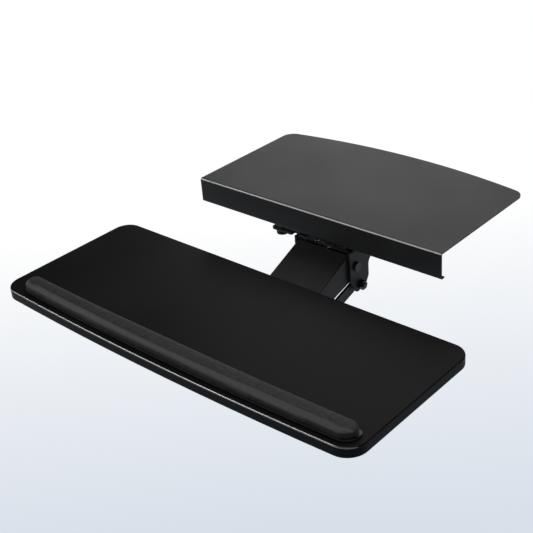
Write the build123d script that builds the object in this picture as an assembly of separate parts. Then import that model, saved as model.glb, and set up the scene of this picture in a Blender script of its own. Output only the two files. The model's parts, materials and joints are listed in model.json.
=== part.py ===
from build123d import *
from math import atan2, ceil, cos, hypot, radians, sin, sqrt
import os

# Keyboard tray that hangs under a corner desk on a sliding, turning lift arm.
# Millimetres. X is the user's right, Y goes in under the desk and Z is up.
# The origin is on the swivel axis, on the face that lies on the desk top.

# Fits between pieces
running_fit = 0.05
face_gap = 0.1
clear_gap = 0.3
loose_fit = 0.25
cut_over = 5.0

# Corner sleeve, folded from one sheet
sleeve_sheet = 2.0
sleeve_width = 440.0
sleeve_side_depth = 213.0
sleeve_bow = 23.0
sleeve_corner_radius = 20.0
sleeve_fold = 3.0
swivel_setback = 66.0
desk_slot = 35.5
hem_depth = 8.0
shelf_width = 170.0
shelf_depth = 276.0
shelf_corner_radius = 10.0

# Slide track under the shelf
track_sheet = 2.0
track_width = 64.0
track_length = 266.0
track_inside_height = 6.0
track_slot = 40.0
track_fold = 3.0
desk_screw_radius = 2.5
desk_screw_spacing_x = 26.0
desk_screw_spacing_y = 200.0
desk_screw_centre = 80.0
rivet_radius = 2.0
rivet_head_radius = 3.5
rivet_head_height = 0.9
rivet_spacing_x = 32.0
rivet_front_inset = 13.0
rivet_back_inset = 13.0
stop_inset = 5.0
stop_pin_radius = 3.0
stop_flange_radius = 4.5
stop_flange_height = 1.2
bumper_radius = 5.5
bumper_top_gap = 0.5
stop_gap = 0.5

# Carriage that slides in the track
slider_sheet = 3.0
slider_width = 54.0
slider_length = 94.0
slider_drop = 1.5
shoe_length = 20.0
shoe_lap = 6.0
shoe_top_gap = 0.2
shoe_edge_radius = 1.3
spacer_width = 34.0
spacer_length = 80.0
plate_drop = 0.5
plate_sheet = 3.0
plate_width = 92.0
plate_front = 50.0
plate_back = 46.0
plate_corner_radius = 6.0
carriage_screw_radius = 2.0
carriage_screw_head_radius = 4.0
carriage_screw_head_depth = 2.0
carriage_screw_spacing = 22.0
race_inner_radius = 26.0
race_outer_radius = 44.0
race_height = 3.0

# Slide lock screw on the carriage's left tab
lock_x = -74.0
lock_y = -46.0
lock_tab_width = 24.0
lock_tab_margin = 12.0
lock_knob_radius = 9.0
lock_knob_height = 8.2
lock_knob_ribs = 24
lock_rib_radius = 0.7
lock_stud_radius = 3.0
lock_nut_flats = 10.0
lock_nut_height = 5.0
lock_tip_radius = 4.0
lock_tip_height = 3.2

# Swivel head
swivel_washer_outer_radius = 42.0
swivel_washer_height = 2.9
swivel_bolt_radius = 5.0
swivel_bolt_flats = 16.0
swivel_bolt_head_height = 6.0
swivel_bolt_tip_inset = 0.2
bolt_washer_radius = 12.0
bolt_washer_height = 2.0
head_sheet = 3.0
head_side_gap = 2.0
head_fold = 4.0
head_plate_front = 42.0
head_plate_back = 44.0
ear_front_margin = 13.8
ear_front_drop = 20.0
ear_toe_forward = 11.0
ear_toe_drop = 10.0
ear_heel_back = 12.6
ear_heel_drop = 4.0
ear_back_margin = 19.6
ear_back_low = 7.6
ear_back_high = 30.6
ear_flange_start = 37.6
ear_flange_height = 15.0
ear_small_radius = 8.0
ear_large_radius = 16.0

# Pivots of the lift arm and of the link below it
pivot_setback = 31.2
pivot_drop = 25.7
link_back = 9.6
link_drop = 34.9
arm_length = 130.0
arm_slope = 17.0
lift_down_angle = 23.0
pivot_bolt_radius = 4.0
pivot_head_radius = 7.0
pivot_head_height = 4.0
pivot_nut_flats = 13.0
pivot_nut_height = 6.5
bolt_end_length = 2.0

# Lift arm, a tapered channel that opens downward
arm_sheet = 2.0
arm_width = 94.0
arm_fold = 3.0
arm_rise = 24.5
arm_taper = 6.0
arm_channel_depth = 60.0
arm_plate_setback = 5.4
arm_rear_margin = 12.0
arm_rear_low = 12.0
arm_knee_forward = 16.3
arm_knee_drop = 19.2
arm_front_drop = 15.2
arm_front_margin = 12.0
arm_wall_radius = 11.0
arm_rear_bush_radius = 7.0
arm_front_bush_radius = 6.5

# Lift springs, one torsion spring each side
spring_wire_diameter = 3.5
spring_coil_radius = 14.5
spring_turns = 8
spring_pitch = 4.65
spring_side_gap = 4.2
spring_front_reach = 60.0
spring_rear_reach = 25.0

# Lower link, two flat bars on bushes
link_bar_thickness = 4.0
link_bar_height = 17.0
link_bush_radius = 6.0

# Front bracket that the arm and link hold level
bracket_sheet = 3.0
bracket_fold = 4.0
bracket_reach = 47.5
bracket_front_rise = 6.0
bracket_shoulder = 8.0
bracket_rise = 14.0
bracket_margin = 12.0
bracket_below_tilt = 14.0
bracket_corner_radius = 8.0

# Tilt lock through the front bracket and the tray bracket
tilt_radius = 34.0
tilt_rest_angle = 15.0
tilt_down_angle = 15.0
tilt_up_angle = 5.0
tilt_bolt_radius = 4.0
tilt_bolt_head_radius = 9.0
tilt_bolt_head_height = 3.5
tilt_spacer_radius = 6.0
tilt_washer_radius = 9.0
tilt_washer_height = 1.5
tilt_knob_radius = 23.0
tilt_knob_width = 24.0
tilt_knob_lobes = 6
tilt_scallop_radius = 7.0
tilt_scallop_depth = 3.5
tilt_knob_edge = 1.5
tilt_insert_flats = 13.0
tilt_insert_height = 10.0

# Tray bracket screwed under the tray board
tray_bracket_gap = 1.0
tray_bracket_sheet = 3.0
tray_bracket_fold = 4.0
tray_bracket_length = 122.0
tray_bracket_margin = 11.5
tray_bracket_flange = 9.0
tray_ear_front_margin = 14.0
tray_ear_drop = 27.0
tray_ear_brow = 22.0
tray_ear_radius = 10.0
tray_screw_radius = 2.0
tray_screw_head_radius = 4.0
tray_screw_head_height = 2.0
tray_screw_grip = 9.0
tray_screw_spacing_x = 80.0
tray_screw_spacing_y = 40.0
tray_screw_rows = 3
tray_screw_first = 22.0

# Tray board
tray_rise = 41.2
tray_overhang = 12.5
tray_width = 635.0
tray_side_depth = 242.6
tray_bow = 8.5
tray_thickness = 15.0
tray_back_radius = 25.0
tray_front_radius = 28.0
tray_top_edge = 2.0
tray_bottom_edge = 1.0

# Wrist rest, a soft pad on a plastic base along the tray's front
rest_offset = 12.0
rest_length = 594.0
rest_depth = 34.0
rest_front_margin = 7.6
rest_front_bow = 7.5
rest_back_bow = 3.5
rest_front_radius = 19.0
rest_back_radius = 8.0
rest_base_height = 2.2
rest_base_inset = 1.5
rest_pad_height = 13.0
rest_front_inset = 7.0
rest_back_inset = 2.4
rest_end_inset = 8.0
rest_level_shares = (0.0, 0.27, 0.60, 0.84, 0.95, 1.0)
rest_inset_shares = (0.14, 0.0, 0.12, 0.42, 0.85, 1.5)
rest_strip_length = 60.0
rest_strip_width = 14.0
rest_strip_height = 0.8
rest_strip_count = 4
rest_strip_pitch = 160.0

# Heights that the stack under the desk sets
shelf_bottom = -desk_slot - sleeve_sheet
web_bottom = shelf_bottom - track_sheet
lip_top = web_bottom - track_inside_height
lip_bottom = lip_top - track_sheet
slider_top = web_bottom - slider_drop
slider_bottom = slider_top - slider_sheet
plate_top = lip_bottom - plate_drop
plate_bottom = plate_top - plate_sheet
race_bottom = plate_bottom - race_height
head_top = race_bottom - face_gap - swivel_washer_height
head_bottom = head_top - head_sheet

# Places along the slide
sleeve_front = -swivel_setback
shelf_back = sleeve_front + shelf_depth
front_stop = -(slider_length / 2 + stop_gap + bumper_radius)
track_front = front_stop - stop_inset
track_back = track_front + track_length
back_stop = track_back - stop_inset
stop_places = (front_stop, back_stop)

# Pivot places in the side view, as Y and Z
rear_upper = (-pivot_setback, head_bottom - pivot_drop)
rear_lower = (rear_upper[0] + link_back, rear_upper[1] - link_drop)
arm_run = arm_length * cos(radians(arm_slope))
arm_fall = arm_length * sin(radians(arm_slope))
front_upper = (rear_upper[0] - arm_run, rear_upper[1] - arm_fall)
front_lower = (rear_lower[0] - arm_run, rear_lower[1] - arm_fall)
tilt_pin = (
    front_upper[0] - tilt_radius * cos(radians(tilt_rest_angle)),
    front_upper[1] - tilt_radius * sin(radians(tilt_rest_angle)),
)

# Half widths across the arm, from the middle out
link_outer = arm_width / 2 - arm_sheet - clear_gap
link_inner = link_outer - link_bar_thickness
spring_outer_x = arm_width / 2 - arm_sheet - spring_side_gap
spring_inner_x = spring_outer_x - spring_turns * spring_pitch
head_inner = arm_width / 2 + head_side_gap
head_outer = head_inner + head_sheet
head_width = 2 * head_outer
bush_end = head_inner - clear_gap
bracket_outer = head_inner + bracket_sheet
tray_ear_inner = bracket_outer + tray_bracket_gap
tray_ear_outer = tray_ear_inner + tray_bracket_sheet

# Tray board places
tray_bottom = front_upper[1] + tray_rise
tray_top = tray_bottom + tray_thickness
tray_back = front_upper[0] + tray_overhang
tray_front = tray_back - tray_side_depth
bracket_back = front_upper[0] + tray_bracket_margin
bracket_plate_bottom = tray_bottom - tray_bracket_sheet


# Helpers


def block(x0, x1, y0, y1, z0, z1):
    """A box between two corners."""
    return Pos((x0 + x1) / 2, (y0 + y1) / 2, (z0 + z1) / 2) * Box(x1 - x0, y1 - y0, z1 - z0)


def pin_z(radius, x, y, z0, z1):
    """An upright cylinder."""
    return Pos(x, y, (z0 + z1) / 2) * Cylinder(radius, z1 - z0)


def pin_x(radius, x0, x1, place):
    """A cylinder across the arm, at a place in the side view."""
    return Pos((x0 + x1) / 2, place[0], place[1]) * Rot(0, 90, 0) * Cylinder(radius, x1 - x0)


def tube_x(outer, inner, half, place):
    """A tube across the arm, from side to side."""
    bore = pin_x(inner, -half - cut_over, half + cut_over, place)
    return pin_x(outer, -half, half, place) - bore


def ring_z(outer, inner, z0, z1):
    """A flat ring about the swivel axis."""
    return pin_z(outer, 0, 0, z0, z1) - pin_z(inner, 0, 0, z0 - cut_over, z1 + cut_over)


def hex_x(flats, x0, x1, place):
    """A hexagonal prism across the arm."""
    face = RegularPolygon(flats / 2, 6, major_radius=False)
    return extrude(Plane.YZ.offset(x0) * Pos(*place) * face, x1 - x0)


def hex_z(flats, x, y, z0, z1):
    """An upright hexagonal prism."""
    face = RegularPolygon(flats / 2, 6, major_radius=False)
    return extrude(Plane.XY.offset(z0) * Pos(x, y) * face, z1 - z0)


def side_slab(face, x0, x1):
    """A side view face, given thickness across the arm."""
    return extrude(Plane.YZ.offset(x0) * face, x1 - x0)


def flat_slab(face, z0, z1):
    """A plan view face, given height."""
    return extrude(Plane.XY.offset(z0) * face, z1 - z0)


def rounded_face(points, radii):
    """A closed outline with a radius for each of its corners."""
    return make_face(FilletPolyline(*points, radius=radii, close=True))


def bent_strip(points, fold, sheet):
    """The section of a folded sheet whose middle follows the points."""
    return trace(FilletPolyline(*points, radius=fold - sheet / 2), line_width=sheet)


def channel(width, depth, sheet, fold, y0, y1):
    """A folded channel along Y that opens downward, its top face at zero height."""
    half = (width - sheet) / 2
    strip = bent_strip(
        ((-half, -depth), (-half, -sheet / 2), (half, -sheet / 2), (half, -depth)), fold, sheet
    )
    return extrude(Plane.XZ.offset(-y0) * strip, y0 - y1)


def bowed_face(half, back_end, back_mid, front_end, front_mid, back_radius, front_radius):
    """A plan outline with bowed front and back edges and rounded corners."""
    back_left, back_right = (-half, back_end), (half, back_end)
    front_left, front_right = (-half, front_end), (half, front_end)
    front = ThreePointArc(front_left, (0, front_mid), front_right)
    if back_mid == back_end:
        back = Line(back_right, back_left)
    else:
        back = ThreePointArc(back_right, (0, back_mid), back_left)
    sides = [Line(back_left, front_left), Line(front_right, back_right)]
    face = make_face([sides[0], front, sides[1], back])
    corners = face.vertices().sort_by(Axis.Y)
    face = fillet(corners[:2], front_radius)
    corners = face.vertices().sort_by(Axis.Y)
    return fillet(corners[-2:], back_radius)


def side_by_side(piece):
    """A piece and its mirror image on the other side of the arm."""
    return Compound([piece.solid(), mirror(piece, about=Plane.YZ).solid()])


def on_arm(piece):
    """Moves a piece from the arm's own frame, level at the rear pivot, to its slope at rest."""
    return Pos(0, *rear_upper) * Rot(arm_slope, 0, 0) * piece


# Sleeve and track, fixed to the desk


def desk_screw_holes():
    """Holes for the wood screws that go up into the desk."""
    return [
        pin_z(desk_screw_radius, x, y, web_bottom - cut_over, -desk_slot + cut_over)
        for x in (-desk_screw_spacing_x / 2, desk_screw_spacing_x / 2)
        for y in (
            desk_screw_centre - desk_screw_spacing_y / 2,
            desk_screw_centre + desk_screw_spacing_y / 2,
        )
    ]


def rivet_places():
    """Plan places of the rivets that hold the track."""
    return [
        (x, y)
        for x in (-rivet_spacing_x / 2, rivet_spacing_x / 2)
        for y in (track_front + rivet_front_inset, track_back - rivet_back_inset)
    ]


def rivet_holes():
    """Holes for the rivet shanks."""
    return [
        pin_z(rivet_radius, x, y, web_bottom - cut_over, -desk_slot + cut_over)
        for x, y in rivet_places()
    ]


def corner_sleeve():
    """Top plate, front apron and bottom hem in one folded sheet, with a shelf under the desk."""
    middle = sleeve_front + sleeve_sheet / 2
    back = sleeve_front + sleeve_side_depth + sleeve_bow + cut_over
    hem_middle = shelf_bottom + sleeve_sheet / 2
    strip = bent_strip(
        (
            (back, sleeve_sheet / 2),
            (middle, sleeve_sheet / 2),
            (middle, hem_middle),
            (sleeve_front + hem_depth, hem_middle),
        ),
        sleeve_fold,
        sleeve_sheet,
    )
    folded = side_slab(strip, -sleeve_width / 2, sleeve_width / 2)
    side_end = sleeve_front + sleeve_side_depth
    plan = make_face(
        [
            Line((-sleeve_width / 2, side_end), (-sleeve_width / 2, sleeve_front)),
            Line((-sleeve_width / 2, sleeve_front), (sleeve_width / 2, sleeve_front)),
            Line((sleeve_width / 2, sleeve_front), (sleeve_width / 2, side_end)),
            ThreePointArc(
                (sleeve_width / 2, side_end),
                (0, side_end + sleeve_bow),
                (-sleeve_width / 2, side_end),
            ),
        ]
    )
    plan = fillet(plan.vertices().sort_by(Axis.Y)[-2:], sleeve_corner_radius)
    folded = folded & flat_slab(plan, web_bottom, sleeve_sheet + cut_over)
    shelf_start = sleeve_front + sleeve_fold
    shelf_face = Pos(0, (shelf_start + shelf_back) / 2) * Rectangle(
        shelf_width, shelf_back - shelf_start
    )
    shelf_face = fillet(shelf_face.vertices().sort_by(Axis.Y)[-2:], shelf_corner_radius)
    sleeve = folded + flat_slab(shelf_face, shelf_bottom, -desk_slot)
    return sleeve - desk_screw_holes() - rivet_holes()


def track():
    """Channel with inward lips that carry the sliding carriage."""
    half = (track_width - track_sheet) / 2
    lip_middle = lip_top - track_sheet / 2
    web_middle = shelf_bottom - track_sheet / 2
    strip = bent_strip(
        (
            (-track_slot / 2, lip_middle),
            (-half, lip_middle),
            (-half, web_middle),
            (half, web_middle),
            (half, lip_middle),
            (track_slot / 2, lip_middle),
        ),
        track_fold,
        track_sheet,
    )
    rail = extrude(Plane.XZ.offset(-track_front) * strip, -track_length)
    pin_holes = [
        pin_z(stop_pin_radius, 0, y, web_bottom - cut_over, shelf_bottom + cut_over)
        for y in stop_places
    ]
    return rail - desk_screw_holes() - rivet_holes() - pin_holes


def track_rivets():
    """Four rivets, flush on the shelf's desk side."""
    rivets = [
        pin_z(rivet_radius, x, y, web_bottom, -desk_slot)
        + pin_z(rivet_head_radius, x, y, web_bottom - rivet_head_height, web_bottom)
        for x, y in rivet_places()
    ]
    return Compound([rivet.solid() for rivet in rivets])


def track_stops():
    """Two pins that end the slide, each with a flange under its bumper."""
    pins = [
        pin_z(stop_pin_radius, 0, y, lip_top - stop_flange_height, shelf_bottom)
        + pin_z(stop_flange_radius, 0, y, lip_top - stop_flange_height, lip_top)
        for y in stop_places
    ]
    return Compound([pin.solid() for pin in pins])


def stop_bumpers():
    """Rubber sleeves on the stop pins."""
    top = web_bottom - bumper_top_gap
    bumpers = [
        pin_z(bumper_radius, 0, y, lip_top, top)
        - pin_z(stop_pin_radius, 0, y, lip_top - cut_over, top + cut_over)
        for y in stop_places
    ]
    return Compound([bumper.solid() for bumper in bumpers])


# Carriage that slides in the track


def carriage_screw_places():
    """Plan places of the screws that clamp the carriage together."""
    half = carriage_screw_spacing / 2
    return [(x, y) for x in (-half, half) for y in (-half, half)]


def carriage_screw(x, y):
    """A countersunk screw, flush under the carriage plate."""
    shank = pin_z(carriage_screw_radius, x, y, plate_bottom, slider_top)
    depth = carriage_screw_head_depth
    cone = Cone(carriage_screw_head_radius, carriage_screw_radius, depth)
    return shank + Pos(x, y, plate_bottom + depth / 2) * cone


def carriage_holes():
    """The swivel bolt's hole and the countersunk screw holes through the carriage."""
    bolt = pin_z(swivel_bolt_radius, 0, 0, plate_bottom - cut_over, slider_top + cut_over)
    return [bolt] + [carriage_screw(x, y) for x, y in carriage_screw_places()]


def slider_plate():
    """Flat plate inside the track that carries the nylon shoes."""
    half_x, half_y = slider_width / 2, slider_length / 2
    plate = block(-half_x, half_x, -half_y, half_y, slider_bottom, slider_top)
    return plate - carriage_holes()


def glide_shoes():
    """Four nylon shoes on the slider's edges, two on each lip."""
    inner = slider_width / 2 - shoe_lap
    outer = track_width / 2 - track_sheet - clear_gap
    top, bottom = web_bottom - shoe_top_gap, lip_top + face_gap
    shoes = []
    for side in (-1, 1):
        for end in (-1, 1):
            x0, x1 = sorted((side * inner, side * outer))
            y0, y1 = sorted((end * (slider_length / 2 - shoe_length), end * slider_length / 2))
            shoe = block(x0, x1, y0, y1, bottom, top)
            shoe = fillet(shoe.edges().filter_by(Axis.Y), shoe_edge_radius)
            shoes.append(shoe - slider_plate())
    return Compound([shoe.solid() for shoe in shoes])


def carriage_spacer():
    """Bar that passes down through the track's slot."""
    half_x, half_y = spacer_width / 2, spacer_length / 2
    spacer = block(-half_x, half_x, -half_y, half_y, plate_top, slider_bottom)
    return spacer - carriage_holes()


def carriage_plate():
    """Plate under the track with a tab on its left for the slide lock."""
    half = plate_width / 2
    body = block(-half, half, -plate_front, plate_back, plate_bottom, plate_top)
    corners = body.edges().filter_by(Axis.Z)
    body = fillet(corners.sort_by(Axis.Y)[-2:], plate_corner_radius)
    tab = block(
        lock_x - lock_tab_margin,
        -half,
        lock_y - lock_tab_width / 2,
        lock_y + lock_tab_width / 2,
        plate_bottom,
        plate_top,
    )
    tab = fillet(tab.edges().filter_by(Axis.Z).sort_by(Axis.X)[:2], plate_corner_radius)
    stud_hole = pin_z(
        lock_stud_radius + running_fit, lock_x, lock_y, plate_bottom - cut_over, plate_top + cut_over
    )
    return body + tab - carriage_holes() - stud_hole


def carriage_screws():
    """The four screws of the carriage."""
    return Compound([carriage_screw(x, y).solid() for x, y in carriage_screw_places()])


def slide_lock_nut():
    """Weld nut on the carriage tab."""
    nut = hex_z(lock_nut_flats, lock_x, lock_y, plate_top, plate_top + lock_nut_height)
    hole = pin_z(
        lock_stud_radius + running_fit,
        lock_x,
        lock_y,
        plate_top - cut_over,
        plate_top + lock_nut_height + cut_over,
    )
    return nut - hole


def swivel_race():
    """Steel ring that the swivel washer runs on."""
    return ring_z(race_outer_radius, race_inner_radius, race_bottom, plate_bottom)


def swivel_bolt():
    """Bolt that the head turns on, threaded up into the carriage."""
    seat = head_bottom - face_gap - bolt_washer_height
    shank = pin_z(swivel_bolt_radius, 0, 0, seat, slider_top - swivel_bolt_tip_inset)
    return shank + hex_z(swivel_bolt_flats, 0, 0, seat - swivel_bolt_head_height, seat)


def swivel_bolt_washer():
    """Flat washer between the bolt's head and the swivel head."""
    top = head_bottom - face_gap
    return ring_z(bolt_washer_radius, swivel_bolt_radius, top - bolt_washer_height, top)


# Slide lock


def slide_lock_knob():
    """Small ribbed knob with a flat face."""
    top = plate_bottom - clear_gap
    bottom = top - lock_knob_height
    knob = pin_z(lock_knob_radius, lock_x, lock_y, bottom, top)
    grooves = [
        Pos(lock_x, lock_y)
        * Rot(0, 0, 360 * i / lock_knob_ribs)
        * pin_z(lock_rib_radius, lock_knob_radius, 0, bottom - cut_over, top + cut_over)
        for i in range(lock_knob_ribs)
    ]
    return knob - grooves - slide_lock_stud()


def slide_lock_stud():
    """Threaded stud from the knob up through the weld nut."""
    top = shelf_bottom - clear_gap - lock_tip_height
    bottom = plate_bottom - clear_gap - lock_knob_height / 2
    return pin_z(lock_stud_radius, lock_x, lock_y, bottom, top)


def slide_lock_tip():
    """Nylon tip that presses on the shelf."""
    top = shelf_bottom - clear_gap
    return pin_z(lock_tip_radius, lock_x, lock_y, top - lock_tip_height, top)


# Swivel head


def swivel_head():
    """Folded head with an ear down each side for the arm and link pivots."""
    front = rear_upper[0] - ear_front_margin
    rear = rear_lower[0] + ear_back_margin
    depth = head_top - rear_lower[1] + link_drop
    shell = Pos(0, 0, head_top) * channel(
        head_width, depth, head_sheet, head_fold, front, head_plate_back
    )
    points = (
        (front, head_top),
        (front, rear_upper[1] - ear_front_drop),
        (rear_lower[0] - ear_toe_forward, rear_lower[1] - ear_toe_drop),
        (rear_lower[0] + ear_heel_back, rear_lower[1] - ear_heel_drop),
        (rear, rear_lower[1] + ear_back_low),
        (rear, rear_lower[1] + ear_back_high),
        (rear_lower[0] + ear_flange_start, head_top - ear_flange_height),
        (head_plate_back, head_top - ear_flange_height),
        (head_plate_back, head_top),
    )
    small, large = ear_small_radius, ear_large_radius
    radii = (0, small, small, small, small, large, large, small, 0)
    shell = shell & side_slab(rounded_face(points, radii), -head_outer, head_outer)
    notch_half = head_outer - head_fold
    notch = block(
        -notch_half, notch_half, front - cut_over, -head_plate_front, head_bottom, head_top + cut_over
    )
    hole = pivot_bolt_radius + running_fit
    reach = head_outer + cut_over
    holes = [
        pin_x(hole, -reach, reach, rear_upper),
        pin_x(hole, -reach, reach, rear_lower),
        pin_z(swivel_bolt_radius + running_fit, 0, 0, head_bottom - cut_over, head_top + cut_over),
    ]
    return shell - notch - holes


def swivel_washer():
    """Nylon ring on top of the swivel head."""
    return ring_z(
        swivel_washer_outer_radius, race_inner_radius, head_top, head_top + swivel_washer_height
    )


def pivot_bolt(place, face, head_side):
    """A pivot bolt with a round head on one side, its end just through the nut on the other."""
    end = face + pivot_nut_height + bolt_end_length
    if head_side > 0:
        shank = pin_x(pivot_bolt_radius, -end, face, place)
        head = pin_x(pivot_head_radius, face, face + pivot_head_height, place)
    else:
        shank = pin_x(pivot_bolt_radius, -face, end, place)
        head = pin_x(pivot_head_radius, -face - pivot_head_height, -face, place)
    return shank + head


def pivot_nut(place, face, nut_side):
    """A hexagonal nut against a face on one side."""
    x0, x1 = sorted((nut_side * face, nut_side * (face + pivot_nut_height)))
    hole = pin_x(pivot_bolt_radius, x0 - cut_over, x1 + cut_over, place)
    return hex_x(pivot_nut_flats, x0, x1, place) - hole


# Lift arm


def lift_arm():
    """Tapered channel between the rear and front upper pivots."""
    shell = Pos(0, 0, arm_rise) * Rot(arm_taper, 0, 0) * channel(
        arm_width,
        arm_channel_depth,
        arm_sheet,
        arm_fold,
        -arm_length - arm_channel_depth,
        arm_channel_depth,
    )
    front = -arm_length - arm_front_margin
    points = (
        (-arm_plate_setback, arm_rise + cut_over),
        (-arm_plate_setback, arm_rise - arm_fold),
        (arm_rear_margin, arm_rear_low / 2),
        (arm_rear_margin, -arm_rear_low),
        (-arm_knee_forward, -arm_knee_drop),
        (-arm_length, -arm_front_drop),
        (front, -arm_front_drop),
        (front, arm_rise + cut_over),
    )
    radius = arm_wall_radius
    radii = (0, 0, radius / 2, radius, radius, 0, radius, 0)
    shell = shell & side_slab(rounded_face(points, radii), -arm_width, arm_width)
    rear_hole = pin_x(arm_rear_bush_radius, -arm_width, arm_width, (0, 0))
    front_hole = pin_x(arm_front_bush_radius, -arm_width, arm_width, (-arm_length, 0))
    return on_arm(shell - rear_hole - front_hole)


def spring_tips():
    """Ends of a spring's legs, in the arm's frame: under the arm's plate and the head's plate."""
    half_wire = spring_wire_diameter / 2
    under_arm = arm_rise - arm_sheet / cos(radians(arm_taper)) - half_wire - clear_gap
    front_tip = (
        -spring_front_reach,
        under_arm - spring_front_reach * sin(radians(arm_taper)) / cos(radians(arm_taper)),
    )
    under_head = pivot_drop - half_wire - clear_gap
    lowest = arm_slope + lift_down_angle
    reach = hypot(spring_rear_reach, under_head)
    bearing = atan2(under_head, spring_rear_reach) - radians(lowest)
    rear_tip = (reach * cos(bearing), reach * sin(bearing))
    return front_tip, rear_tip


def half_turn_arcs(start, start_way, end, end_way):
    """Two arcs that join two points and their directions smoothly."""
    span = end - start
    ways = start_way + end_way
    bend = 2 * (1 - start_way.dot(end_way))
    along = span.dot(ways)
    reach = (sqrt(along**2 + bend * span.dot(span)) - along) / bend
    first_corner = start + start_way * reach
    second_corner = end - end_way * reach
    joint = (first_corner + second_corner) * 0.5
    joint_way = (second_corner - first_corner).normalized()
    return [
        TangentArc(start, joint, tangent=start_way),
        TangentArc(joint, end, tangent=joint_way),
    ]


def spring_path():
    """The wire's middle line, in the arm's frame: a leg, the coil and a leg."""
    front_tip, rear_tip = spring_tips()
    radius = spring_coil_radius
    front_leg = sqrt(hypot(*front_tip) ** 2 - radius**2)
    rear_leg = sqrt(hypot(*rear_tip) ** 2 - radius**2)
    first = atan2(front_tip[1], front_tip[0]) - atan2(front_leg, radius)
    last = atan2(rear_tip[1], rear_tip[0]) + atan2(rear_leg, radius)
    turned = radians(360) * spring_turns + first - last
    climb = spring_pitch / radians(360)

    def point(angle):
        way = first - angle
        return Vector(spring_inner_x + climb * angle, radius * cos(way), radius * sin(way))

    def heading(angle):
        way = first - angle
        return Vector(climb, radius * sin(way), -radius * cos(way)).normalized()

    pieces = ceil(turned / radians(180))
    angles = [turned * i / pieces for i in range(pieces + 1)]
    edges = [Line(point(0) - heading(0) * front_leg, point(0))]
    for a, b in zip(angles, angles[1:]):
        edges += half_turn_arcs(point(a), heading(a), point(b), heading(b))
    edges.append(Line(point(turned), point(turned) + heading(turned) * rear_leg))
    return edges


def spring_self_gap(arcs, samples=24):
    """Least gap between the coil's turns, measured on points along its arcs."""
    points = [arc @ (i / samples) for arc in arcs for i in range(samples)]
    turn = int(len(points) * 0.6 / spring_turns)
    least = min(
        (points[i] - points[j]).length
        for i in range(len(points))
        for j in range(i + turn, len(points))
    )
    return least - spring_wire_diameter


def lift_springs():
    """Two mirrored torsion springs round the rear bush of the arm."""
    edges = spring_path()
    print("lift_springs least gap to itself", round(spring_self_gap(edges[1:-1]), 3))
    path = Wire(edges)
    section = Plane(path @ 0, z_dir=path % 0) * Circle(spring_wire_diameter / 2)
    spring = sweep(section, path)
    return side_by_side(on_arm(spring))


# Lower link


def link_bar(side):
    """One flat bar of the lower link, with round ends."""
    x0, x1 = sorted((side * link_inner, side * link_outer))
    centre = ((rear_lower[0] + front_lower[0]) / 2, (rear_lower[1] + front_lower[1]) / 2)
    face = Pos(*centre) * Rot(0, 0, arm_slope) * SlotCenterToCenter(arm_length, link_bar_height)
    bar = side_slab(face, x0, x1)
    reach = head_outer
    holes = [
        pin_x(link_bush_radius, -reach, reach, rear_lower),
        pin_x(link_bush_radius, -reach, reach, front_lower),
    ]
    return bar - holes


# Front bracket and tilt lock


def front_bracket():
    """Folded bracket, open at the back, between the arm's front pivots and the tray bracket."""
    half = bracket_outer - bracket_sheet / 2
    front = front_upper[0] - bracket_reach
    back = front_lower[0] + bracket_margin
    top = front_upper[1] + bracket_rise
    bottom = front_lower[1] - bracket_margin
    middle = front + bracket_sheet / 2
    strip = bent_strip(
        ((-half, back), (-half, middle), (half, middle), (half, back)), bracket_fold, bracket_sheet
    )
    shell = flat_slab(strip, bottom - cut_over, top + cut_over)
    points = (
        (front, front_upper[1] + bracket_front_rise),
        (front_upper[0] - bracket_shoulder, top),
        (front_upper[0] + bracket_margin, top),
        (back, front_lower[1]),
        (back, bottom),
        (front_lower[0] - bracket_margin, bottom),
        (front, tilt_pin[1] - bracket_below_tilt),
    )
    radius = bracket_corner_radius
    radii = (0, radius, radius, radius, radius, radius, 0)
    shell = shell & side_slab(rounded_face(points, radii), -bracket_outer, bracket_outer)
    hole = pivot_bolt_radius + running_fit
    reach = bracket_outer + cut_over
    holes = [
        pin_x(hole, -reach, reach, front_upper),
        pin_x(hole, -reach, reach, front_lower),
        pin_x(tilt_bolt_radius + running_fit, -reach, reach, tilt_pin),
    ]
    return shell - holes


def tilt_bolt():
    """Bolt across both brackets, with a low round head on the left."""
    face = tray_ear_outer + face_gap
    end = face + tilt_washer_height + face_gap + tilt_insert_height
    head = pin_x(tilt_bolt_head_radius, -face - tilt_bolt_head_height, -face, tilt_pin)
    return pin_x(tilt_bolt_radius, -face, end, tilt_pin) + head


def tilt_washer():
    """Steel washer between the tray bracket and the knob."""
    x0 = tray_ear_outer + face_gap
    x1 = x0 + tilt_washer_height
    hole = pin_x(tilt_bolt_radius, x0 - cut_over, x1 + cut_over, tilt_pin)
    return pin_x(tilt_washer_radius, x0, x1, tilt_pin) - hole


def tilt_knob_start():
    """Where the knob's inner face lies."""
    return tray_ear_outer + face_gap + tilt_washer_height + face_gap


def tilt_knob():
    """Lobed plastic hand knob, bored for its nut insert."""
    x0 = tilt_knob_start()
    x1 = x0 + tilt_knob_width
    face = Circle(tilt_knob_radius)
    scallop_place = tilt_knob_radius + tilt_scallop_radius - tilt_scallop_depth
    for i in range(tilt_knob_lobes):
        turn = Rot(0, 0, 360 * i / tilt_knob_lobes)
        face -= turn * Pos(scallop_place, 0) * Circle(tilt_scallop_radius)
    knob = side_slab(Pos(*tilt_pin) * face, x0, x1)
    knob = fillet(knob.faces().sort_by(Axis.X)[-1].edges(), tilt_knob_edge)
    return knob - hex_x(tilt_insert_flats, x0, x0 + tilt_insert_height, tilt_pin)


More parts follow.
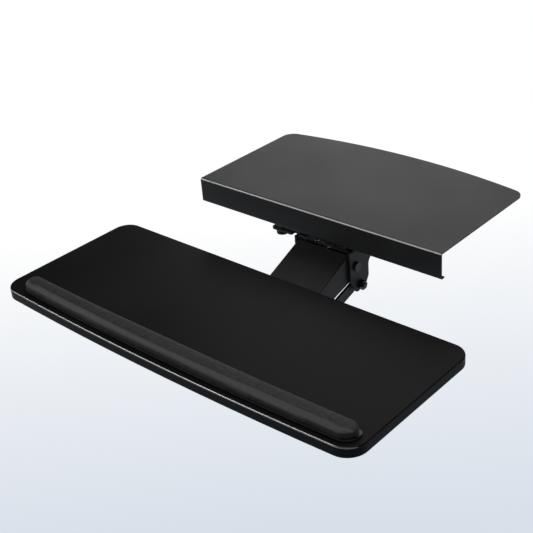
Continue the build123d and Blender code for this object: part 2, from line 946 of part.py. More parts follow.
def tilt_knob_insert():
    """Nut moulded into the knob."""
    x0 = tilt_knob_start()
    x1 = x0 + tilt_insert_height
    hole = pin_x(tilt_bolt_radius + running_fit, x0 - cut_over, x1 + cut_over, tilt_pin)
    return hex_x(tilt_insert_flats, x0, x1, tilt_pin) - hole


# Tray


def tray_screw_places():
    """Plan places of the screws between the bracket and the board."""
    return [
        (x, bracket_back - tray_screw_first - row * tray_screw_spacing_y)
        for x in (-tray_screw_spacing_x / 2, tray_screw_spacing_x / 2)
        for row in range(tray_screw_rows)
    ]


def tray_screw(x, y):
    """A pan head screw up through the bracket's plate."""
    head_low = bracket_plate_bottom - tray_screw_head_height
    shank = pin_z(tray_screw_radius, x, y, bracket_plate_bottom, tray_bottom + tray_screw_grip)
    return shank + pin_z(tray_screw_head_radius, x, y, head_low, bracket_plate_bottom)


def tray_bracket():
    """Folded bracket under the board, with slotted ears outside the front bracket."""
    front = bracket_back - tray_bracket_length
    ear_low = front_upper[1] - tray_ear_drop
    shell = Pos(0, 0, tray_bottom) * channel(
        2 * tray_ear_outer,
        tray_bottom - ear_low + cut_over,
        tray_bracket_sheet,
        tray_bracket_fold,
        front,
        bracket_back,
    )
    flange_low = tray_bottom - tray_bracket_flange
    ear_front = front_upper[0] - tilt_radius - tray_ear_front_margin
    points = (
        (bracket_back, tray_bottom),
        (bracket_back, front_upper[1] - tray_bracket_margin),
        (front_upper[0] - tray_bracket_margin, front_upper[1] - tray_bracket_margin),
        (tilt_pin[0], ear_low),
        (ear_front, ear_low),
        (ear_front, front_upper[1]),
        (ear_front - tray_ear_brow, flange_low),
        (front, flange_low),
        (front, tray_bottom),
    )
    radius = tray_ear_radius
    radii = (0, radius, radius, radius / 2, radius, radius, radius, radius / 2, 0)
    shell = shell & side_slab(rounded_face(points, radii), -tray_ear_outer, tray_ear_outer)
    slot_start = 180 + tilt_rest_angle - tilt_down_angle
    slot_line = CenterArc(front_upper, tilt_radius, slot_start, tilt_down_angle + tilt_up_angle)
    slot = SlotArc(slot_line, 2 * (tilt_bolt_radius + clear_gap))
    reach = tray_ear_outer + cut_over
    holes = [
        pin_x(pivot_bolt_radius + running_fit, -reach, reach, front_upper),
        side_slab(slot, -reach, reach),
    ]
    screw_holes = [tray_screw(x, y) for x, y in tray_screw_places()]
    return shell - holes - screw_holes


def tray_board():
    """Board with a bowed front, rounded corners and softened edges."""
    face = bowed_face(
        tray_width / 2,
        tray_back,
        tray_back,
        tray_front,
        tray_front - tray_bow,
        tray_back_radius,
        tray_front_radius,
    )
    board = flat_slab(face, tray_bottom, tray_top)
    board = fillet(board.faces().sort_by(Axis.Z)[-1].edges(), tray_top_edge)
    board = fillet(board.faces().sort_by(Axis.Z)[0].edges(), tray_bottom_edge)
    return board - [tray_screw(x, y) for x, y in tray_screw_places()]


def tray_screws():
    """The screws that hold the board."""
    return Compound([tray_screw(x, y).solid() for x, y in tray_screw_places()])


def rest_face(inset_share, extra=0):
    """The wrist rest's plan outline, drawn in by a share of its edge insets."""
    front_in = rest_front_inset * inset_share + extra
    back_in = rest_back_inset * inset_share + extra
    half = rest_length / 2 - rest_end_inset * inset_share - extra
    front_mid = tray_front - tray_bow + rest_front_margin + front_in
    back_mid = tray_front - tray_bow + rest_front_margin + rest_depth - back_in
    return Pos(rest_offset, 0) * bowed_face(
        half,
        back_mid + rest_back_bow,
        back_mid,
        front_mid + rest_front_bow,
        front_mid,
        rest_back_radius - back_in,
        rest_front_radius - front_in,
    )


def wrist_rest_base():
    """Thin plastic base under the pad."""
    bottom = tray_top + rest_strip_height
    return flat_slab(rest_face(0, rest_base_inset), bottom, bottom + rest_base_height)


def wrist_rest_pad():
    """Soft pad with drawn in sides and a crowned top, its back edge the crisper one."""
    bottom = tray_top + rest_strip_height + rest_base_height
    levels = [
        Plane.XY.offset(bottom + rest_pad_height * level) * rest_face(inset)
        for level, inset in zip(rest_level_shares, rest_inset_shares)
    ]
    return loft(levels)


def rest_strips():
    """Adhesive strips between the rest and the board."""
    middle = tray_front - tray_bow + rest_front_margin + rest_depth / 2
    first = rest_offset - rest_strip_pitch * (rest_strip_count - 1) / 2
    strips = []
    for i in range(rest_strip_count):
        x = first + rest_strip_pitch * i
        strips.append(
            block(
                x - rest_strip_length / 2,
                x + rest_strip_length / 2,
                middle - rest_strip_width / 2,
                middle + rest_strip_width / 2,
                tray_top,
                tray_top + rest_strip_height,
            )
        )
    return Compound([strip.solid() for strip in strips])


# The whole tray

front_face = tray_ear_outer + face_gap
front_link_face = bracket_outer

pieces = {
    "corner_sleeve": corner_sleeve(),
    "track": track(),
    "track_rivets": track_rivets(),
    "track_stops": track_stops(),
    "stop_bumpers": stop_bumpers(),
    "slider_plate": slider_plate(),
    "glide_shoes": glide_shoes(),
    "carriage_spacer": carriage_spacer(),
    "carriage_plate": carriage_plate(),
    "carriage_screws": carriage_screws(),
    "slide_lock_nut": slide_lock_nut(),
    "swivel_race": swivel_race(),
    "swivel_bolt": swivel_bolt(),
    "swivel_bolt_washer": swivel_bolt_washer(),
    "slide_lock_knob": slide_lock_knob(),
    "slide_lock_stud": slide_lock_stud(),
    "slide_lock_tip": slide_lock_tip(),
    "swivel_head": swivel_head(),
    "swivel_washer": swivel_washer(),
    "rear_upper_bolt": pivot_bolt(rear_upper, head_outer, 1),
    "rear_upper_nut": pivot_nut(rear_upper, head_outer, -1),
    "rear_lower_bolt": pivot_bolt(rear_lower, head_outer, -1),
    "rear_lower_nut": pivot_nut(rear_lower, head_outer, 1),
    "lift_arm": lift_arm(),
    "arm_rear_bush": tube_x(
        arm_rear_bush_radius, pivot_bolt_radius + running_fit, bush_end, rear_upper
    ),
    "arm_front_bush": tube_x(
        arm_front_bush_radius, pivot_bolt_radius + running_fit, bush_end, front_upper
    ),
    "lift_springs": lift_springs(),
    "lower_link_right": link_bar(1),
    "lower_link_left": link_bar(-1),
    "link_rear_bush": tube_x(
        link_bush_radius, pivot_bolt_radius + running_fit, bush_end, rear_lower
    ),
    "link_front_bush": tube_x(
        link_bush_radius, pivot_bolt_radius + loose_fit, bush_end, front_lower
    ),
    "front_bracket": front_bracket(),
    "front_upper_bolt": pivot_bolt(front_upper, front_face, 1),
    "front_upper_nut": pivot_nut(front_upper, front_face, -1),
    "front_lower_bolt": pivot_bolt(front_lower, front_link_face, 1),
    "front_lower_nut": pivot_nut(front_lower, front_link_face, -1),
    "tilt_bolt": tilt_bolt(),
    "tilt_spacer": tube_x(tilt_spacer_radius, tilt_bolt_radius, head_inner, tilt_pin),
    "tilt_washer": tilt_washer(),
    "tilt_knob": tilt_knob(),
    "tilt_knob_insert": tilt_knob_insert(),
    "tray_bracket": tray_bracket(),
    "tray_screws": tray_screws(),
    "tray_board": tray_board(),
    "wrist_rest_base": wrist_rest_base(),
    "wrist_rest_pad": wrist_rest_pad(),
    "rest_strips": rest_strips(),
}

os.makedirs("parts", exist_ok=True)
for name, piece in pieces.items():
    export_step(piece, "parts/" + name + ".step")
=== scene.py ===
import json
from math import sqrt

import bmesh
import bpy
from mathutils import Matrix, Vector
from mathutils.noise import noise


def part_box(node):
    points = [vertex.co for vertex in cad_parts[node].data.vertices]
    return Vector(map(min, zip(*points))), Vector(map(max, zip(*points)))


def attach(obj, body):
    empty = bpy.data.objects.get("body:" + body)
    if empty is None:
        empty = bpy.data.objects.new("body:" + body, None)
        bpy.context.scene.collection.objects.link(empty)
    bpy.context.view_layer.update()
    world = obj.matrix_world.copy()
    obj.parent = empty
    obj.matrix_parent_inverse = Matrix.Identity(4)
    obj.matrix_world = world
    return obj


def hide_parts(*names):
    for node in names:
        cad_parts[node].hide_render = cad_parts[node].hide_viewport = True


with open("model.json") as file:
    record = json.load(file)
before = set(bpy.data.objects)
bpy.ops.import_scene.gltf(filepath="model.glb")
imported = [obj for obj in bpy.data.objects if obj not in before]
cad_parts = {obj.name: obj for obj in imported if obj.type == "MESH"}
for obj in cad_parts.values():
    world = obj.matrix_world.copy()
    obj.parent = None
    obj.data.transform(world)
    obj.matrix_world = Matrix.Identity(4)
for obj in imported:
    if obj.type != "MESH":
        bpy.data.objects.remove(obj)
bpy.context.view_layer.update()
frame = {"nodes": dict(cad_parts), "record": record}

# Camera, fitted to the outlines of the sleeve and the tray

camera_place = (0.87703, -1.07409, 0.66613)
camera_right = (0.74658716, 0.66093683, -0.07596128)
camera_up = (-0.27457936, 0.41011833, 0.86971785)
camera_back = (0.60598167, -0.62846278, 0.48766869)
camera_lens = 70.7435
camera_sensor = 36.0
camera_reach = 60

# Floor and world

white = (1.0, 1.0, 1.0)
floor_height = -0.73
floor_half = 14.0
floor_near = 1.45
floor_far = 2.75
floor_near_glow_share = 0.90
floor_far_glow_share = 1.0
floor_blue = (0.715, 0.770, 0.848)
world_color = (0.96, 0.98, 1.0)
world_strength = 0.10

# Softboxes: name, place, target, width, height and power

softboxes = (
    ("overhead", (0.3, 0.8, 2.3), (0, 0, 0), 2.2, 2.2, 44),
    ("back", (-1.6, 2.2, 1.25), (0, 0, -0.05), 1.5, 1.5, 15),
    ("edge", (-1.55, -1.75, 1.30), (-1.10, -0.42, -0.05), 2.0, 0.4, 17),
)

# Parts of a piece, by its own normal: an axis, where it starts and where it is full

front_edge = (("Y", -0.40, -0.50), ("Z", 0.10, 0.25))
# Normals of the wrist rest's front crown, where its cover is painted lighter as a highlight
crown_highlight_limits = (("Y", -0.18, -0.42), ("Z", 0.50, 0.78))

# Numbers that the materials share

micron = 0.000001
noise_range = (0.3, 0.7)
edge_sharpness = (0.995, 0.85)
bevel_samples = 4
polish_ior = 3.9

# A Mix node's sockets: its first value, its second value and its result

mix_sockets = {"FLOAT": (2, 3, 0), "RGBA": (6, 7, 2)}

# Wrist rest cover, its lengths in metres

rest_middle_x = 0.012
rest_columns = 150
rest_end_crowding = 0.5
rest_front_corner = 0.019
rest_back_corner = 0.015
rest_front_bow = 0.0075
rest_back_bow = 0.0035
rest_crown_run = 0.012
rest_end_height_share = 0.45
rest_swell = 0.0008
rest_voxel = 0.0028
rest_cloth_frames = 16
rest_cloth_pressure = 3.0
rest_cloth_stiffness = 30
rest_smooth_steps = 3
rest_smooth_share = 0.4
rest_wave_height = 0.00025
rest_waves_per_metre = 60
rest_section_shares = (
    (0.03, 0.00), (0.01, 0.14), (0.00, 0.32), (0.04, 0.56), (0.12, 0.76), (0.23, 0.89),
    (0.38, 0.96), (0.56, 0.99), (0.74, 1.00), (0.89, 0.98), (0.955, 0.91), (0.985, 0.76),
    (0.99, 0.40), (0.985, 0.12), (0.97, 0.00), (0.74, 0.00), (0.50, 0.00), (0.26, 0.00),
)


# Node helpers


class Shader:
    """One material's node tree, with its main shader and the piece's own places and normals."""

    def __init__(self, name, color, roughness, metallic=0.0, specular=0.5):
        self.material = bpy.data.materials.new(name)
        self.material.use_nodes = True
        self.tree = self.material.node_tree
        self.main = self.tree.nodes["Principled BSDF"]
        self.main.inputs["Base Color"].default_value = (*color, 1)
        self.main.inputs["Roughness"].default_value = roughness
        self.main.inputs["Metallic"].default_value = metallic
        self.main.inputs["Specular IOR Level"].default_value = specular
        coordinates = self.node("ShaderNodeTexCoord")
        self.place = coordinates.outputs["Object"]
        self.normal = coordinates.outputs["Normal"]

    def node(self, kind, **values):
        """Adds a node and sets its plain values."""
        made = self.tree.nodes.new(kind)
        for key, value in values.items():
            setattr(made, key, value)
        return made

    def link(self, source, target):
        self.tree.links.new(source, target)

    def math(self, operation, first, second):
        """Works out one number from two."""
        made = self.node("ShaderNodeMath", operation=operation)
        self.link(first, made.inputs[0])
        self.link(second, made.inputs[1])
        return made.outputs["Value"]

    def spread(self, source, start, end, low=0.0, high=1.0):
        """Turns a number that runs from start to end into one from low to high."""
        made = self.node("ShaderNodeMapRange")
        made.inputs["From Min"].default_value = start
        made.inputs["From Max"].default_value = end
        made.inputs["To Min"].default_value = low
        made.inputs["To Max"].default_value = high
        self.link(source, made.inputs["Value"])
        return made.outputs["Result"]

    def noise(self, per_metre, detail, stretch=None):
        """Noise with this many features in a metre."""
        made = self.node("ShaderNodeTexNoise")
        made.inputs["Scale"].default_value = per_metre
        made.inputs["Detail"].default_value = detail
        source = self.place
        if stretch is not None:
            mapping = self.node("ShaderNodeMapping")
            mapping.inputs["Scale"].default_value = stretch
            self.link(self.place, mapping.inputs["Vector"])
            source = mapping.outputs["Vector"]
        self.link(source, made.inputs["Vector"])
        return made.outputs["Fac"]

    def cells(self, per_metre, feature):
        """Distance from the middle of cells, with this many in a metre."""
        made = self.node("ShaderNodeTexVoronoi", feature=feature)
        made.inputs["Scale"].default_value = per_metre
        self.link(self.place, made.inputs["Vector"])
        return made.outputs["Distance"]

    def ribs(self, axis, scale, distortion, detail):
        """Even ribs across an axis."""
        made = self.node("ShaderNodeTexWave", bands_direction=axis)
        made.inputs["Scale"].default_value = scale
        made.inputs["Distortion"].default_value = distortion
        made.inputs["Detail"].default_value = detail
        self.link(self.place, made.inputs["Vector"])
        return made.outputs["Fac"]

    def ramp(self, source, low, high, color_low, color_high):
        """Turns a value from low to high into a mix of two colours."""
        made = self.node("ShaderNodeValToRGB")
        first, last = made.color_ramp.elements
        first.position = low
        first.color = (*color_low, 1)
        last.position = high
        last.color = (*color_high, 1)
        self.link(source, made.inputs["Fac"])
        return made.outputs["Color"]

    def between(self, source, low, high):
        """Turns a noise value into a number from low to high."""
        return self.spread(source, *noise_range, low, high)

    def edge_mask(self, radius):
        """A value that rises to one on edges sharper than the radius."""
        bevel = self.node("ShaderNodeBevel", samples=bevel_samples)
        bevel.inputs["Radius"].default_value = radius
        geometry = self.node("ShaderNodeNewGeometry")
        dot = self.node("ShaderNodeVectorMath", operation="DOT_PRODUCT")
        self.link(bevel.outputs["Normal"], dot.inputs[0])
        self.link(geometry.outputs["Normal"], dot.inputs[1])
        return self.spread(dot.outputs["Value"], *edge_sharpness)

    def facing_mask(self, limits):
        """A value that rises to one where the piece's own normal lies within the limits."""
        split = self.node("ShaderNodeSeparateXYZ")
        self.link(self.normal, split.inputs["Vector"])
        first, second = [self.spread(split.outputs[axis], empty, full) for axis, empty, full in limits]
        return self.math("MULTIPLY", first, second)

    def mix(self, kind, factor, source, value):
        """Mixes a socket with a plain value by a factor."""
        first, second, result = mix_sockets[kind]
        made = self.node("ShaderNodeMix", data_type=kind)
        self.link(factor, made.inputs["Factor"])
        self.link(source, made.inputs[first])
        made.inputs[second].default_value = value
        return made.outputs[result]

    def tint(self, mask, tone, color):
        """Brings a tone to a plain colour where the mask is one."""
        return self.mix("RGBA", mask, tone, (*color, 1))

    def smooth(self, mask, roughness, value):
        """Brings roughness to a plain value where the mask is one."""
        return self.mix("FLOAT", mask, roughness, value)

    def polish(self, mask, roughness):
        """A thin glossy film where the mask is one."""
        self.link(mask, self.main.inputs["Coat Weight"])
        self.main.inputs["Coat Roughness"].default_value = roughness
        self.main.inputs["Coat IOR"].default_value = polish_ior

    def finish(self, tone, roughness, *layers):
        """Links tone, roughness and stacked bumps, each a height and a depth in metres."""
        self.link(tone, self.main.inputs["Base Color"])
        if roughness is not None:
            self.link(roughness, self.main.inputs["Roughness"])
        normal = None
        for height, depth in layers:
            made = self.node("ShaderNodeBump")
            made.inputs["Strength"].default_value = 1.0
            made.inputs["Distance"].default_value = depth
            self.link(height, made.inputs["Height"])
            if normal is not None:
                self.link(normal, made.inputs["Normal"])
            normal = made.outputs["Normal"]
        self.link(normal, self.main.inputs["Normal"])
        return self.material


# Materials


def black_steel():
    """Satin powder coat with fine orange peel, paler rubbed edges and smoother front edges."""
    shader = Shader("powder_coat", (0.035, 0.035, 0.036), 0.44, specular=0.14)
    peel = shader.noise(per_metre=900, detail=2)
    grain = shader.noise(per_metre=3600, detail=1)
    cloud = shader.noise(per_metre=9, detail=3)
    edges = shader.edge_mask(radius=0.0008)
    body = shader.ramp(cloud, 0.35, 0.70, (0.027, 0.027, 0.028), (0.035, 0.035, 0.036))
    tone = shader.tint(edges, body, (0.055, 0.055, 0.057))
    gloss = shader.smooth(edges, shader.between(cloud, 0.43, 0.52), 0.16)
    shader.polish(shader.facing_mask(front_edge), roughness=0.38)
    return shader.finish(tone, gloss, (peel, 60 * micron), (grain, 20 * micron))


def zinc_steel():
    """Bright zinc plate with a faint drawn grain."""
    shader = Shader("zinc_plate", (0.55, 0.55, 0.56), 0.34, metallic=1.0)
    grain = shader.noise(per_metre=700, detail=3, stretch=(1.0, 1.0, 0.15))
    cloud = shader.noise(per_metre=160, detail=3)
    tone = shader.ramp(cloud, 0.30, 0.72, (0.46, 0.46, 0.48), (0.62, 0.62, 0.61))
    gloss = shader.between(cloud, 0.28, 0.44)
    return shader.finish(tone, gloss, (grain, 10 * micron))


def black_oxide():
    """Oil black bolts and nuts, worn a little paler on their corners."""
    shader = Shader("black_oxide", (0.030, 0.030, 0.032), 0.40, metallic=0.6, specular=0.4)
    film = shader.noise(per_metre=260, detail=3)
    marks = shader.noise(per_metre=2400, detail=2)
    body = shader.ramp(film, 0.32, 0.72, (0.022, 0.022, 0.024), (0.042, 0.042, 0.044))
    tone = shader.tint(shader.edge_mask(radius=0.0004), body, (0.11, 0.11, 0.11))
    gloss = shader.between(film, 0.32, 0.50)
    return shader.finish(tone, gloss, (marks, 10 * micron))


def spring_steel():
    """Dark oiled spring wire with drawing marks."""
    shader = Shader("spring_wire", (0.08, 0.08, 0.08), 0.42, metallic=1.0)
    marks = shader.noise(per_metre=1500, detail=2)
    film = shader.noise(per_metre=120, detail=3)
    tone = shader.ramp(film, 0.35, 0.70, (0.05, 0.05, 0.05), (0.10, 0.10, 0.10))
    gloss = shader.between(film, 0.26, 0.48)
    return shader.finish(tone, gloss, (marks, 15 * micron))


def bumper_rubber():
    """Matte moulded rubber."""
    shader = Shader("moulded_rubber", (0.03, 0.03, 0.03), 0.85, specular=0.3)
    skin = shader.noise(per_metre=1800, detail=3)
    bloom = shader.noise(per_metre=200, detail=2)
    tone = shader.ramp(bloom, 0.35, 0.72, (0.024, 0.024, 0.024), (0.042, 0.042, 0.041))
    return shader.finish(tone, None, (skin, 40 * micron))


def nylon():
    """Natural nylon, slightly milky, with a fine moulded skin."""
    shader = Shader("natural_nylon", (0.75, 0.74, 0.70), 0.42)
    shader.main.inputs["Subsurface Weight"].default_value = 0.08
    shader.main.inputs["Subsurface Scale"].default_value = 0.002
    cloud = shader.noise(per_metre=240, detail=3)
    skin = shader.noise(per_metre=2200, detail=2)
    tone = shader.ramp(cloud, 0.30, 0.72, (0.70, 0.69, 0.64), (0.79, 0.78, 0.74))
    gloss = shader.between(cloud, 0.38, 0.52)
    return shader.finish(tone, gloss, (skin, 20 * micron))


def black_plastic():
    """Moulded plastic with a spark eroded grain."""
    shader = Shader("grained_plastic", (0.03, 0.03, 0.03), 0.52, specular=0.45)
    grain = shader.cells(per_metre=1400, feature="SMOOTH_F1")
    cloud = shader.noise(per_metre=90, detail=2)
    body = shader.ramp(cloud, 0.35, 0.70, (0.025, 0.025, 0.025), (0.036, 0.036, 0.036))
    tone = shader.tint(shader.edge_mask(radius=0.0005), body, (0.06, 0.06, 0.06))
    gloss = shader.between(cloud, 0.47, 0.60)
    return shader.finish(tone, gloss, (grain, 50 * micron))


def board_laminate():
    """Satin black laminate, its fine texture a little uneven, its front edge smoother and glossier,
    with a painted highlight.
    """
    shader = Shader("satin_laminate", (0.012, 0.012, 0.013), 0.42, specular=0.05)
    pebble = shader.noise(per_metre=1500, detail=2)
    fibre = shader.noise(per_metre=420, detail=3, stretch=(0.35, 1.0, 1.0))
    cloud = shader.noise(per_metre=7, detail=3)
    edges = shader.facing_mask(front_edge)
    body = shader.ramp(cloud, 0.35, 0.70, (0.0050, 0.0050, 0.0053), (0.0076, 0.0076, 0.0080))
    # painted highlight: the front edge, which faces the edge lamp, is given a lighter colour
    tone = shader.tint(edges, body, (0.016, 0.016, 0.017))
    gloss = shader.smooth(edges, shader.between(cloud, 0.40, 0.48), 0.30)
    shader.polish(edges, roughness=0.30)
    return shader.finish(tone, gloss, (pebble, 30 * micron), (fibre, 30 * micron))


def pad_fabric():
    """Soft knitted cover: fine ribs both ways, a nap, unevenness and a smoother front crown with a
    painted highlight.
    """
    shader = Shader("soft_cover", (0.022, 0.022, 0.023), 0.62, specular=0.27)
    shader.main.inputs["Sheen Weight"].default_value = 0.07
    shader.main.inputs["Sheen Roughness"].default_value = 0.45
    ribs = [shader.ribs(axis, scale=260, distortion=0.6, detail=1) for axis in ("X", "Y")]
    weave = shader.math("MULTIPLY", *ribs)
    nap = shader.noise(per_metre=2600, detail=2)
    mottle = shader.noise(per_metre=150, detail=5)
    crown = shader.facing_mask(crown_highlight_limits)
    body = shader.ramp(mottle, 0.32, 0.70, (0.003, 0.003, 0.003), (0.021, 0.021, 0.021))
    thread = shader.tint(weave, body, (0.019, 0.019, 0.019))
    # painted highlight: the front crown, which faces the edge lamp, is given a lighter colour
    tone = shader.tint(crown, thread, (0.068, 0.068, 0.069))
    gloss = shader.smooth(crown, shader.between(mottle, 0.58, 0.68), 0.46)
    return shader.finish(tone, gloss, (mottle, 900 * micron), (weave, 80 * micron), (nap, 40 * micron))


def adhesive():
    """Closed cell foam strip."""
    shader = Shader("foam_strip", (0.60, 0.60, 0.58), 0.80, specular=0.3)
    cells = shader.cells(per_metre=1800, feature="F1")
    cloud = shader.noise(per_metre=300, detail=2)
    tone = shader.ramp(cloud, 0.30, 0.72, (0.54, 0.54, 0.52), (0.66, 0.66, 0.64))
    return shader.finish(tone, None, (cells, 60 * micron))


# Pieces


def dress_nodes(finishes):
    """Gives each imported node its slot's material."""
    for part in frame["record"]["subparts"]:
        piece = frame["nodes"][part["node"]]
        for slot in piece.material_slots:
            slot.material = finishes[part["material_slot"]]


def new_piece(name, mesh):
    """Turns a finished bmesh into an object of the scene."""
    data = bpy.data.meshes.new(name)
    mesh.to_mesh(data)
    mesh.free()
    piece = bpy.data.objects.new(name, data)
    bpy.context.scene.collection.objects.link(piece)
    return piece


def apply_modifiers(piece):
    """Makes the piece's modifiers part of its mesh."""
    shown = piece.evaluated_get(bpy.context.evaluated_depsgraph_get())
    data = bpy.data.meshes.new_from_object(shown)
    piece.modifiers.clear()
    piece.data = data


# Wrist rest cover


def corner_pull(distance, radius):
    """How far a rounded corner draws the edge in, at a distance from the end."""
    if distance >= radius:
        return 0.0
    return radius - sqrt(max(radius**2 - (radius - distance) ** 2, 0.0))


def crown_share(distance):
    """The cover's height at a distance from its end, as a share of its full height."""
    if distance >= rest_crown_run:
        return 1.0
    fall = 1 - distance / rest_crown_run
    return rest_end_height_share + (1 - rest_end_height_share) * sqrt(max(1 - fall**2, 0.0))


def rest_sections(low, high):
    """Cross sections of the wrist rest from its left end to its right end, closer at the ends."""
    half = (high[0] - low[0]) / 2 - rest_swell
    front = low[1] + rest_swell
    back = high[1] - rest_swell - rest_back_bow
    bottom = low[2]
    height = high[2] - low[2] - rest_swell
    sections = []
    for i in range(rest_columns + 1):
        share = 2 * i / rest_columns - 1
        eased = share * (1 + rest_end_crowding - rest_end_crowding * share**2)
        distance = half * (1 - abs(eased))
        bow = eased**2
        y_front = front + rest_front_bow * bow + corner_pull(distance, rest_front_corner)
        y_back = back + rest_back_bow * bow - corner_pull(distance, rest_back_corner)
        crown = crown_share(distance)
        x = rest_middle_x + half * eased
        sections.append([
            Vector((x, y_front + (y_back - y_front) * u, bottom + height * crown * v))
            for u, v in rest_section_shares
        ])
    return sections


def rest_mesh(low, high):
    """A closed mesh through the cross sections."""
    sections = rest_sections(low, high)
    mesh = bmesh.new()
    rings = [[mesh.verts.new(point) for point in section] for section in sections]
    count = len(rest_section_shares)
    for first, second in zip(rings, rings[1:]):
        for k in range(count):
            after = (k + 1) % count
            mesh.faces.new((first[k], second[k], second[after], first[after]))
    mesh.faces.new(list(reversed(rings[0])))
    mesh.faces.new(rings[-1])
    bmesh.ops.recalc_face_normals(mesh, faces=mesh.faces)
    return new_piece("wrist_rest_cover", mesh)


def inflate(piece, cap):
    """Swells the cover as cloth under pressure, its base held, each point by the cap at most."""
    start = [vertex.co.copy() for vertex in piece.data.vertices]
    base = min(point.z for point in start)
    held = piece.vertex_groups.new(name="held")
    held.add([i for i, point in enumerate(start) if point.z < base + rest_voxel], 1.0, "REPLACE")
    cloth = piece.modifiers.new("cover", "CLOTH")
    cloth.settings.use_pressure = True
    cloth.settings.uniform_pressure_force = rest_cloth_pressure
    cloth.settings.tension_stiffness = rest_cloth_stiffness
    cloth.settings.compression_stiffness = rest_cloth_stiffness
    cloth.settings.vertex_group_mass = "held"
    cloth.settings.effector_weights.gravity = 0
    scene = bpy.context.scene
    for step in range(1, rest_cloth_frames + 1):
        scene.frame_set(step)
    apply_modifiers(piece)
    scene.frame_set(1)
    for vertex, origin in zip(piece.data.vertices, start):
        move = vertex.co - origin
        if move.length > cap:
            vertex.co = origin + move.normalized() * cap
        vertex.co.z = max(vertex.co.z, base)


def wrist_rest_cover():
    """Crowned soft cover with a crisp back ridge, lying on the rest's plastic base."""
    low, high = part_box("wrist_rest_pad")
    piece = rest_mesh(low, high)
    remesh = piece.modifiers.new("even", "REMESH")
    remesh.mode = "VOXEL"
    remesh.voxel_size = rest_voxel
    apply_modifiers(piece)
    inflate(piece, rest_swell)
    smooth = piece.modifiers.new("smooth", "SMOOTH")
    smooth.iterations = rest_smooth_steps
    smooth.factor = rest_smooth_share
    round_off = piece.modifiers.new("round", "SUBSURF")
    round_off.levels = 1
    round_off.render_levels = 1
    apply_modifiers(piece)
    base = low[2]
    for vertex in piece.data.vertices:
        share = (vertex.co.z - base) / (high[2] - base)
        vertex.co.z += rest_wave_height * share * noise(vertex.co * rest_waves_per_metre)
        vertex.co.z = max(vertex.co.z, base)
    for face in piece.data.polygons:
        face.use_smooth = True
    return piece


# Floor, light and camera


def floor_material():
    """Pale floor, white far away and pale blue near, that keeps the object's soft shadow."""
    shader = Shader("pale_floor", floor_blue, 1.0, specular=0.0)
    away = Vector((-camera_back[0], -camera_back[1], 0)).normalized()
    start = Vector(camera_place).dot(away)
    gradient = shader.node("ShaderNodeVectorMath", operation="DOT_PRODUCT")
    gradient.inputs[1].default_value = away
    shader.link(shader.place, gradient.inputs[0])
    distance = shader.spread(gradient.outputs["Value"], start + floor_near, start + floor_far)
    color = shader.ramp(distance, 0.0, 1.0, floor_blue, white)
    glow = shader.node("ShaderNodeEmission")
    shader.link(color, glow.inputs["Color"])
    rays = shader.node("ShaderNodeLightPath")
    seen = rays.outputs["Is Camera Ray"]
    for name in ("Is Glossy Ray", "Is Transmission Ray"):
        seen = shader.math("MAXIMUM", seen, rays.outputs[name])
    glow_share = shader.spread(distance, 0.0, 1.0, floor_near_glow_share, floor_far_glow_share)
    shader.link(color, shader.main.inputs["Base Color"])
    blend = shader.node("ShaderNodeMixShader")
    shader.link(shader.math("MULTIPLY", seen, glow_share), blend.inputs["Fac"])
    shader.link(shader.main.outputs["BSDF"], blend.inputs[1])
    shader.link(glow.outputs["Emission"], blend.inputs[2])
    shader.link(blend.outputs["Shader"], shader.tree.nodes["Material Output"].inputs["Surface"])
    return shader.material


def add_floor():
    mesh = bmesh.new()
    bmesh.ops.create_grid(mesh, x_segments=1, y_segments=1, size=floor_half)
    floor = new_piece("floor", mesh)
    floor.location = (0, 0, floor_height)
    floor.data.materials.append(floor_material())


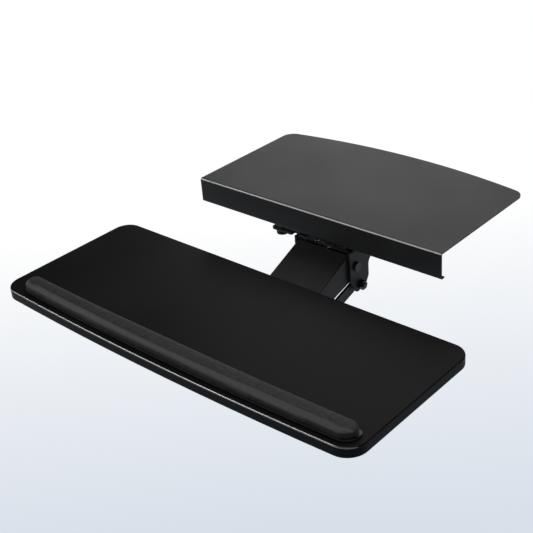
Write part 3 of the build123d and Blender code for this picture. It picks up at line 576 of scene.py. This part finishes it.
def add_world():
    """Even pale surroundings, plain white where the camera sees them."""
    world = bpy.data.worlds.new("studio")
    bpy.context.scene.world = world
    world.use_nodes = True
    tree = world.node_tree
    around = tree.nodes["Background"]
    around.inputs["Color"].default_value = (*world_color, 1)
    around.inputs["Strength"].default_value = world_strength
    seen = tree.nodes.new("ShaderNodeBackground")
    seen.inputs["Color"].default_value = (*white, 1)
    seen.inputs["Strength"].default_value = 1.0
    rays = tree.nodes.new("ShaderNodeLightPath")
    blend = tree.nodes.new("ShaderNodeMixShader")
    tree.links.new(rays.outputs["Is Camera Ray"], blend.inputs["Fac"])
    tree.links.new(around.outputs["Background"], blend.inputs[1])
    tree.links.new(seen.outputs["Background"], blend.inputs[2])
    tree.links.new(blend.outputs["Shader"], tree.nodes["World Output"].inputs["Surface"])


def add_softbox(name, place, target, width, height, power):
    """A soft light that faces a point."""
    light = bpy.data.lights.new(name, "AREA")
    light.shape = "RECTANGLE"
    light.size = width
    light.size_y = height
    light.energy = power
    lamp = bpy.data.objects.new(name, light)
    lamp.location = place
    lamp.rotation_mode = "QUATERNION"
    lamp.rotation_quaternion = (Vector(target) - Vector(place)).to_track_quat("-Z", "Y")
    bpy.context.scene.collection.objects.link(lamp)


def add_camera():
    lens = bpy.data.cameras.new("camera")
    lens.lens = camera_lens
    lens.sensor_width = camera_sensor
    lens.sensor_fit = "HORIZONTAL"
    lens.clip_end = camera_reach
    camera = bpy.data.objects.new("camera", lens)
    turn = Matrix((camera_right, camera_up, camera_back)).transposed().to_4x4()
    camera.matrix_world = Matrix.Translation(camera_place) @ turn
    bpy.context.scene.collection.objects.link(camera)
    bpy.context.scene.camera = camera


add_camera()
finishes = {
    "black_steel": black_steel(),
    "zinc_steel": zinc_steel(),
    "black_oxide": black_oxide(),
    "spring_steel": spring_steel(),
    "bumper_rubber": bumper_rubber(),
    "nylon": nylon(),
    "black_plastic": black_plastic(),
    "board_laminate": board_laminate(),
    "pad_fabric": pad_fabric(),
    "adhesive": adhesive(),
}
dress_nodes(finishes)

cover = wrist_rest_cover()
cover.data.materials.clear()
cover.data.materials.append(finishes["pad_fabric"])
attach(cover, "tray")
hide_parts("wrist_rest_pad")

add_floor()
add_world()
for softbox in softboxes:
    add_softbox(*softbox)
bpy.context.scene.view_settings.view_transform = "Standard"
